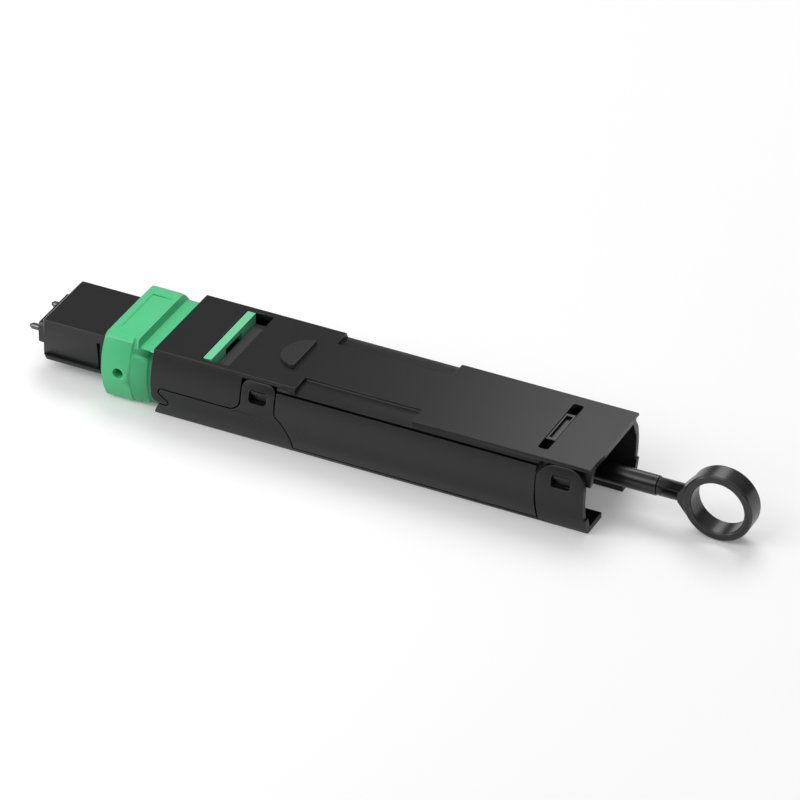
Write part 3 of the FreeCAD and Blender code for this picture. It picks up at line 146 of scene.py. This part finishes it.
# injection-moulded plastic: a fine spark-eroded skin, faint flow clouds in tone and gloss, and eased edges
# made smoother and a shade paler, partly as worn by handling and partly as a painted highlight
def mouldedPlastic(name, look):
    material, tree = newMaterial(name)
    place = addNode(tree, "ShaderNodeTexCoord").outputs["Object"]
    # mask of eased edges and listed faces; the paler colour it brings is partly worn edges and partly a
    # painted highlight
    edge = addNode(tree, "ShaderNodeAttribute", {"attribute_name": "edgePolish"}).outputs["Fac"]
    clouds = addNode(tree, "ShaderNodeTexNoise", {
        "Scale": 1 / (look["clouds"] * mm), "Detail": mouldedSkin["cloudDetail"]},
        {"Vector": place}).outputs["Fac"]
    grain = addNode(tree, "ShaderNodeTexNoise", {
        "Scale": 1 / (look["grain"] * mm), "Detail": mouldedSkin["grainDetail"],
        "Roughness": mouldedSkin["grainHarshness"]}, {"Vector": place}).outputs["Fac"]
    tone = addNode(tree, "ShaderNodeMix", {
        "data_type": "RGBA", 6: linear(look["dark"]), 7: linear(look["pale"])}, {0: clouds}).outputs[2]
    # share of the paler edge colour: partly worn edges, partly a painted highlight
    wearAndHighlightShare = addNode(tree, "ShaderNodeMath", {"operation": "MULTIPLY", 1: look["edgeMix"]},
                   {0: edge}).outputs[0]
    tint = addNode(tree, "ShaderNodeMix", {"data_type": "RGBA", 7: linear(look["edge"])},
                   {0: wearAndHighlightShare, 6: tone}).outputs[2]
    skin = addNode(tree, "ShaderNodeMapRange", {"To Min": look["rough"][0], "To Max": look["rough"][1]},
                   {"Value": clouds}).outputs["Result"]
    speck = addNode(tree, "ShaderNodeMath", {
        "operation": "MULTIPLY_ADD", 1: mouldedSkin["speck"], 2: -mouldedSkin["speck"] / 2},
        {0: grain}).outputs[0]
    matt = addNode(tree, "ShaderNodeMath", {"operation": "ADD"}, {0: skin, 1: speck}).outputs[0]
    gloss = addNode(tree, "ShaderNodeMath", {"operation": "MULTIPLY_ADD", 1: mouldedSkin["edgeGloss"]},
                    {0: edge, 2: matt}).outputs[0]
    bump = addNode(tree, "ShaderNodeBump", {
        "Strength": look["bump"], "Distance": look["grain"] * mm * mouldedSkin["relief"]},
        {"Height": grain}).outputs["Normal"]
    shader = addNode(tree, "ShaderNodeBsdfPrincipled", {"IOR": look["ior"]},
                     {"Base Color": tint, "Roughness": gloss, "Normal": bump})
    addNode(tree, "ShaderNodeOutputMaterial", links={"Surface": shader.outputs["BSDF"]})
    return material


# what both steels share
steelLines = {
    "stretch": (0.08, 1, 1),     # the lines run along the module
    "detail": 3.0,
    "bump": 0.2,
    "relief": 0.1,               # depth of a line, as a share of its width
}


# steel: fine lines left by grinding or drawing, with a grey and a gloss that vary a little
def workedSteel(name, look):
    material, tree = newMaterial(name)
    place = addNode(tree, "ShaderNodeTexCoord").outputs["Object"]
    drawn = addNode(tree, "ShaderNodeMapping", {"Scale": steelLines["stretch"]},
                    {"Vector": place}).outputs["Vector"]
    lines = addNode(tree, "ShaderNodeTexNoise", {
        "Scale": 1 / (look["lines"] * mm), "Detail": steelLines["detail"]}, {"Vector": drawn}).outputs["Fac"]
    tint = addNode(tree, "ShaderNodeMix", {
        "data_type": "RGBA", 6: linear(look["dark"]), 7: linear(look["pale"])}, {0: lines}).outputs[2]
    gloss = addNode(tree, "ShaderNodeMapRange", {"To Min": look["rough"][0], "To Max": look["rough"][1]},
                    {"Value": lines}).outputs["Result"]
    bump = addNode(tree, "ShaderNodeBump", {
        "Strength": steelLines["bump"], "Distance": look["lines"] * mm * steelLines["relief"]},
        {"Height": lines}).outputs["Normal"]
    shader = addNode(tree, "ShaderNodeBsdfPrincipled", {"Metallic": 1.0},
                     {"Base Color": tint, "Roughness": gloss, "Normal": bump})
    addNode(tree, "ShaderNodeOutputMaterial", links={"Surface": shader.outputs["BSDF"]})
    return material


# grain, clouds and lines are widths in mm
# each look's edge colour is mixed onto eased edges and listed faces: partly worn edges, partly a painted
# highlight
finishes = {
    # black polycarbonate blend, satin from a lightly eroded mould
    "cover_plastic": mouldedPlastic("blackPolycarbonateCovers", {
        "dark": "#0d0d0e", "pale": "#131314", "edge": "#383839", "edgeMix": 0.5, "grain": 0.09, "clouds": 7.0,
        "rough": (0.36, 0.42), "bump": 0.22, "ior": 1.44}),
    # the same resin from a smoother cavity, so the side panels show soft reflections
    "body_plastic": mouldedPlastic("blackPolycarbonateBody", {
        "dark": "#0c0c0d", "pale": "#111112", "edge": "#262627", "edgeMix": 0.3, "grain": 0.09, "clouds": 7.0,
        "rough": (0.27, 0.33), "bump": 0.14, "ior": 1.46}),
    # glass-filled polymer of the plug: a little duller and faintly mottled
    "plug_plastic": mouldedPlastic("blackFilledPolymerPlug", {
        "dark": "#0b0b0c", "pale": "#121213", "edge": "#2a2a2b", "edgeMix": 0.4, "grain": 0.08, "clouds": 3.0,
        "rough": (0.34, 0.42), "bump": 0.2, "ior": 1.47}),
    # mineral-filled thermoset, ground flat at the end face
    "ferrule_plastic": mouldedPlastic("groundThermosetFerrule", {
        "dark": "#0a0a0b", "pale": "#101011", "edge": "#222223", "edgeMix": 0.4, "grain": 0.06, "clouds": 1.5,
        "rough": (0.38, 0.46), "bump": 0.25, "ior": 1.55}),
    # pigmented acetal-like green, bright and satin, with pale edges that are partly worn and partly a painted
    # highlight
    "coupling_plastic": mouldedPlastic("greenSatinCoupling", {
        "dark": "#47bd7e", "pale": "#53c588", "edge": "#82dcaa", "edgeMix": 0.5, "grain": 0.09, "clouds": 5.0,
        "rough": (0.36, 0.44), "bump": 0.18, "ior": 1.48}),
    # black nylon, semi-gloss from a polished mould
    "rod_plastic": mouldedPlastic("blackNylonRod", {
        "dark": "#0a0a0b", "pale": "#0f0f10", "edge": "#48484a", "edgeMix": 0.5, "grain": 0.1, "clouds": 5.0,
        "rough": (0.24, 0.32), "bump": 0.14, "ior": 1.53}),
    # silicone sleeve: matt and soft-looking
    "boot_rubber": mouldedPlastic("blackSiliconeBoot", {
        "dark": "#131313", "pale": "#1a1a1a", "edge": "#1f1f1f", "edgeMix": 0.3, "grain": 0.06, "clouds": 2.0,
        "rough": (0.6, 0.7), "bump": 0.3, "ior": 1.41}),
    # acrylate-coated glass fibre: aqua and shiny
    "fibre_coating": mouldedPlastic("aquaAcrylateFibre", {
        "dark": "#4fb6b2", "pale": "#63c6c0", "edge": "#63c6c0", "edgeMix": 0.0, "grain": 0.3, "clouds": 6.0,
        "rough": (0.16, 0.24), "bump": 0.05, "ior": 1.5}),
    # ground stainless guide pins: grey with fine lines along them
    "pin_steel": workedSteel("groundStainlessPins", {
        "dark": "#505153", "pale": "#6e6f71", "lines": 0.05, "rough": (0.26, 0.38)}),
    # drawn spring wire and stamped plate: paler, with drawn lines
    "spring_steel": workedSteel("drawnSpringSteel", {
        "dark": "#9a9b9d", "pale": "#bdbec0", "lines": 0.08, "rough": (0.24, 0.36)}),
}
slotOf = {item["node"]: item["material_slot"] for item in frame["record"]["subparts"]}
for nodeName, node in frame["nodes"].items():
    node.data.materials.clear()
    node.data.materials.append(finishes[slotOf[nodeName]])
print("materials made:", len(finishes))

# how far each moulding's sharp edges are eased, in mm
easedEdges = {
    "top_cover": 0.055,
    "bottom_cover": 0.08,
    "loop_body": 0.03,
    "plug_housing": 0.08,
    "spring_push": 0.05,
    "ferrule": 0.05,
    "coupling": 0.06,
    "pull_rod": 0.06,
    "pull_ring": 0.06,
}
easing = {
    "sharp": math.radians(40),       # a bend past this is a sharp edge
    "flat": math.radians(0.4),       # faces that bend less than this become one
    "leastBend": 0.001,              # radians, so that no corner divides by zero
    "merge": 0.001 * mm,             # points closer than this become one
    "room": 0.4,                     # share of a neighbouring edge that the easing may take
    "segments": 3,
    "shadingWeight": 95,             # how much large faces hold the shading flat
}
# faces painted paler as a highlight and made smoother all over: an axis, and the stretch along it
paintedHighlightParts = {
    "top_cover": (2, cadHigh[2] - 0.4 * mm, cadHigh[2]),     # the finger catch, proud of the plate
    "coupling": (0, -19.4 * mm, -18.2 * mm),                 # the bar in the window
    "pull_rod": (0, -18.4 * mm, -16.0 * mm),                 # the strip's shoulder behind the bar
}
bodyOf = {node: body for body, nodes in frame["record"]["behaviour"]["bodies"].items() for node in nodes}


# outer edges with enough room along their neighbours for the easing
def roomyEdges(form, ease):
    chosen = {edge for edge in form.edges
              if len(edge.link_faces) == 2 and edge.is_convex and edge.calc_face_angle() > easing["sharp"]}
    dropped = True
    while dropped:
        dropped = set()
        for loop in (loop for face in form.faces for loop in face.loops):
            ahead, behind = loop.edge, loop.link_loop_prev.edge
            bend = max(loop.calc_angle(), easing["leastBend"])
            roomAhead = easing["room"] * ahead.calc_length()
            roomBehind = easing["room"] * behind.calc_length()
            if ahead in chosen and behind in chosen:
                if loop.is_convex and ease / math.tan(bend / 2) > min(roomAhead, roomBehind):
                    dropped |= {ahead, behind}
            elif ahead in chosen and ease / math.sin(bend) > roomBehind:
                dropped.add(ahead)
            elif behind in chosen and ease / math.sin(bend) > roomAhead:
                dropped.add(behind)
        chosen -= dropped
    return list(chosen)


def mergedForm(nodeName):
    form = bmesh.new()
    form.from_mesh(frame["nodes"][nodeName].data)
    bmesh.ops.remove_doubles(form, verts=form.verts, dist=easing["merge"])
    return form


# a new piece with the node's finish, in the node's place
def standIn(nodeName, form):
    name = "finished" + "".join(word.capitalize() for word in nodeName.split("_"))
    mesh = bpy.data.meshes.new(name)
    form.to_mesh(mesh)
    form.free()
    mesh.shade_smooth()
    mesh.set_sharp_from_angle(angle=easing["sharp"])
    mesh.materials.append(finishes[slotOf[nodeName]])
    piece = bpy.data.objects.new(name, mesh)
    scene.collection.objects.link(piece)
    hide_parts(nodeName)
    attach(piece, bodyOf[nodeName])
    return piece


def easeMoulding(nodeName, ease):
    form = mergedForm(nodeName)
    bmesh.ops.dissolve_limit(form, angle_limit=easing["flat"], use_dissolve_boundaries=False,
                             verts=form.verts, edges=form.edges)
    # marked faces are painted paler and smoother: eased edges as partly worn and partly a painted highlight,
    # the listed parts as a painted highlight
    wearAndHighlightLayer = form.faces.layers.float.new("edgePolish")
    edges = roomyEdges(form, ease)
    made = bmesh.ops.bevel(form, geom=edges, offset=ease, offset_type="OFFSET", affect="EDGES",
                           segments=easing["segments"], profile=0.5, material=-1, clamp_overlap=False)
    for face in made["faces"]:
        face[wearAndHighlightLayer] = 1.0
    # painted highlight: these faces take the paler edge colour as well
    if nodeName in paintedHighlightParts:
        axis, start, end = paintedHighlightParts[nodeName]
        for face in form.faces:
            if start < face.calc_center_median()[axis] <= end:
                face[wearAndHighlightLayer] = 1.0
    piece = standIn(nodeName, form)
    even = piece.modifiers.new("evenShading", "WEIGHTED_NORMAL")
    even.keep_sharp = True
    even.weight = easing["shadingWeight"]
    print("eased", piece.name, len(edges), "edges,", len(piece.data.polygons), "faces")


for nodeName, ease in easedEdges.items():
    easeMoulding(nodeName, ease * mm)

# each spring and the joint that presses it
pressedBy = {
    "ferrule_spring": "ferrule_float",
    "coupling_spring_left": "release_slide",
    "coupling_spring_right": "release_slide",
}
for nodeName, jointName in pressedBy.items():
    spring = standIn(nodeName, mergedForm(nodeName))
    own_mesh(spring)


# 1 for what the eye meets, straight or in a reflection, and 0 for light on its way round the room
def seenRays(tree):
    path = addNode(tree, "ShaderNodeLightPath")
    mirrored = addNode(tree, "ShaderNodeMath", {"operation": "MAXIMUM"},
                       {0: path.outputs["Is Glossy Ray"], 1: path.outputs["Is Transmission Ray"]})
    seen = addNode(tree, "ShaderNodeMath", {"operation": "MAXIMUM"},
                   {0: path.outputs["Is Camera Ray"], 1: mirrored.outputs[0]})
    return seen.outputs[0]


# sizes in metres; the glow shows to the eye and in reflections only, and leaves the shadow on the floor
floorLook = {"size": 6.0, "grey": 0.8, "glow": 0.16, "below": 0.02 * mm}


def makeFloor():
    material, tree = newMaterial("paleStudioFloor")
    glow = addNode(tree, "ShaderNodeMath", {"operation": "MULTIPLY", 1: floorLook["glow"]},
                   {0: seenRays(tree)}).outputs[0]
    grey = floorLook["grey"]
    lit = addNode(tree, "ShaderNodeBsdfDiffuse", {"Color": (grey, grey, grey, 1)})
    shine = addNode(tree, "ShaderNodeEmission", {"Color": (1, 1, 1, 1)}, {"Strength": glow})
    both = addNode(tree, "ShaderNodeAddShader", links={0: lit.outputs[0], 1: shine.outputs[0]})
    addNode(tree, "ShaderNodeOutputMaterial", links={"Surface": both.outputs[0]})
    mesh = bpy.data.meshes.new("studioFloor")
    form = bmesh.new()
    bmesh.ops.create_grid(form, x_segments=1, y_segments=1, size=floorLook["size"] / 2)
    form.to_mesh(mesh)
    form.free()
    mesh.materials.append(material)
    floor = bpy.data.objects.new("studioFloor", mesh)
    floor.location.z = -floorLook["below"]
    scene.collection.objects.link(floor)


# a room that is dark above a white backdrop and bright overhead; the backdrop shows to the eye and in
# reflections only; heights run from 0 at the horizon to 1 overhead
skyLook = {
    "low": 0.02,
    "high": 0.76,
    "lowHeight": 0.12,
    "highHeight": 0.95,
    "backdrop": 1.0,
    "backdropTop": (0.08, 0.14),     # where its fade into the room begins and ends
}


def makeSky():
    world = bpy.data.worlds.new("studioSky")
    world.use_nodes = True
    tree = world.node_tree
    tree.nodes.clear()
    way = addNode(tree, "ShaderNodeTexCoord").outputs["Generated"]
    height = addNode(tree, "ShaderNodeSeparateXYZ", links={0: way}).outputs["Z"]
    room = addNode(tree, "ShaderNodeMapRange", {
        "From Min": skyLook["lowHeight"], "From Max": skyLook["highHeight"],
        "To Min": skyLook["low"], "To Max": skyLook["high"]}, {"Value": height}).outputs["Result"]
    cloth = addNode(tree, "ShaderNodeMapRange", {
        "From Min": skyLook["backdropTop"][0], "From Max": skyLook["backdropTop"][1],
        "To Min": 1.0, "To Max": 0.0}, {"Value": height}).outputs["Result"]
    shown = addNode(tree, "ShaderNodeMath", {"operation": "MULTIPLY"},
                    {0: cloth, 1: seenRays(tree)}).outputs[0]
    strength = addNode(tree, "ShaderNodeMix", {3: skyLook["backdrop"]}, {0: shown, 2: room}).outputs[0]
    sky = addNode(tree, "ShaderNodeBackground", {"Color": (1, 1, 1, 1)}, {"Strength": strength})
    addNode(tree, "ShaderNodeOutputWorld", links={"Surface": sky.outputs[0]})
    scene.world = world


# places and sizes in metres, power in watts;
# a wash lights without a glint, a card is seen in glints alone, and a box does both
lamps = {
    "overWash": {"kind": "wash", "power": 2.45, "size": 0.46,
                 "place": (-0.15, 0.40, 0.62), "aim": (0.0, 0.0, 0.0)},
    "nearFill": {"kind": "box", "power": 0.9, "size": 0.4,
                 "place": (-0.20, -0.38, 0.52), "aim": (0.0, 0.0, 0.0)},
    "sideBox": {"kind": "box", "power": 0.04, "size": 0.05,
                "place": (-0.10, -0.07, 0.06), "aim": (-0.03, 0.0, 0.004)},
    "rearCard": {"kind": "card", "power": 0.016, "size": 0.05,
                 "place": (0.004, 0.067, 0.069), "aim": (0.03, 0.0, 0.007)},
}


def makeLamps():
    for name, lamp in lamps.items():
        data = bpy.data.lights.new(name, "AREA")
        data.shape = "DISK"
        data.size = lamp["size"]
        data.energy = lamp["power"]
        lampObject = bpy.data.objects.new(name, data)
        place = Vector(lamp["place"])
        aim = (Vector(lamp["aim"]) - place).to_track_quat("-Z", "Y")
        lampObject.matrix_world = Matrix.Translation(place) @ aim.to_matrix().to_4x4()
        lampObject.visible_camera = False
        lampObject.visible_diffuse = lamp["kind"] != "card"
        lampObject.visible_glossy = lamp["kind"] != "wash"
        scene.collection.objects.link(lampObject)


makeFloor()
makeSky()
makeLamps()
print("stage and lights set")
